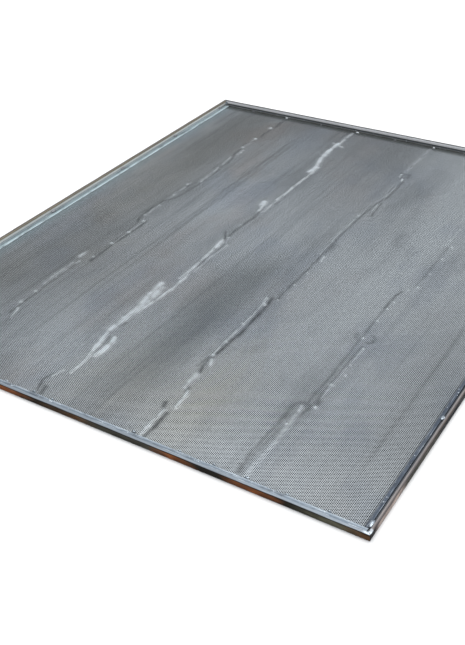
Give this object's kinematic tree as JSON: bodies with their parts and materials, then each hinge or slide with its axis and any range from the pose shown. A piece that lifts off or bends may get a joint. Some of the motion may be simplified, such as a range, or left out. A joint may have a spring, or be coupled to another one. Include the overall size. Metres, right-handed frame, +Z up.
{
  "type": "queen excluder",
  "caption": "Flat rectangular steel screen: a finely perforated sheet recessed in a low folded-rail frame, carried by flat bars underneath.",
  "frame": {"origin": "centre of the underside, on the surface that the panel rests on", "axes": "+X across the panel's width towards the right rail, +Y along its length towards the far rail, +Z up, out of the side with the raised rim"},
  "size_m": [0.413, 0.508, 0.0048],
  "materials": {
    "rail_steel": "satin",
    "strip_steel": "satin",
    "sheet_steel": "satin",
    "bar_steel": "satin",
    "weld_metal": "satin"
  },
  "bodies": {
    "root": {"far_bar_weld_1": "weld_metal", "far_bar_weld_2": "weld_metal", "far_bar_weld_3": "weld_metal", "far_bar_weld_4": "weld_metal", "far_corner_weld": "weld_metal", "far_rail": "rail_steel", "far_retaining_strip": "strip_steel", "far_tack_weld_1": "weld_metal", "far_tack_weld_2": "weld_metal", "far_tack_weld_3": "weld_metal", "far_tack_weld_4": "weld_metal", "far_tack_weld_5": "weld_metal", "left_corner_weld": "weld_metal", "left_rail": "rail_steel", "left_retaining_strip": "strip_steel", "left_tack_weld_1": "weld_metal", "left_tack_weld_2": "weld_metal", "left_tack_weld_3": "weld_metal", "left_tack_weld_4": "weld_metal", "left_tack_weld_5": "weld_metal", "left_tack_weld_6": "weld_metal", "near_bar_weld_1": "weld_metal", "near_bar_weld_2": "weld_metal", "near_bar_weld_3": "weld_metal", "near_bar_weld_4": "weld_metal", "near_corner_weld": "weld_metal", "near_rail": "rail_steel", "near_retaining_strip": "strip_steel", "near_tack_weld_1": "weld_metal", "near_tack_weld_10": "weld_metal", "near_tack_weld_2": "weld_metal", "near_tack_weld_3": "weld_metal", "near_tack_weld_4": "weld_metal", "near_tack_weld_5": "weld_metal", "near_tack_weld_6": "weld_metal", "near_tack_weld_7": "weld_metal", "near_tack_weld_8": "weld_metal", "near_tack_weld_9": "weld_metal", "perforated_sheet": "sheet_steel", "right_corner_weld": "weld_metal", "right_rail": "rail_steel", "right_retaining_strip": "strip_steel", "right_tack_weld_1": "weld_metal", "right_tack_weld_2": "weld_metal", "right_tack_weld_3": "weld_metal", "right_tack_weld_4": "weld_metal", "right_tack_weld_5": "weld_metal", "right_tack_weld_6": "weld_metal", "support_bar_1": "bar_steel", "support_bar_2": "bar_steel", "support_bar_3": "bar_steel", "support_bar_4": "bar_steel"}
  },
  "joints": []
}
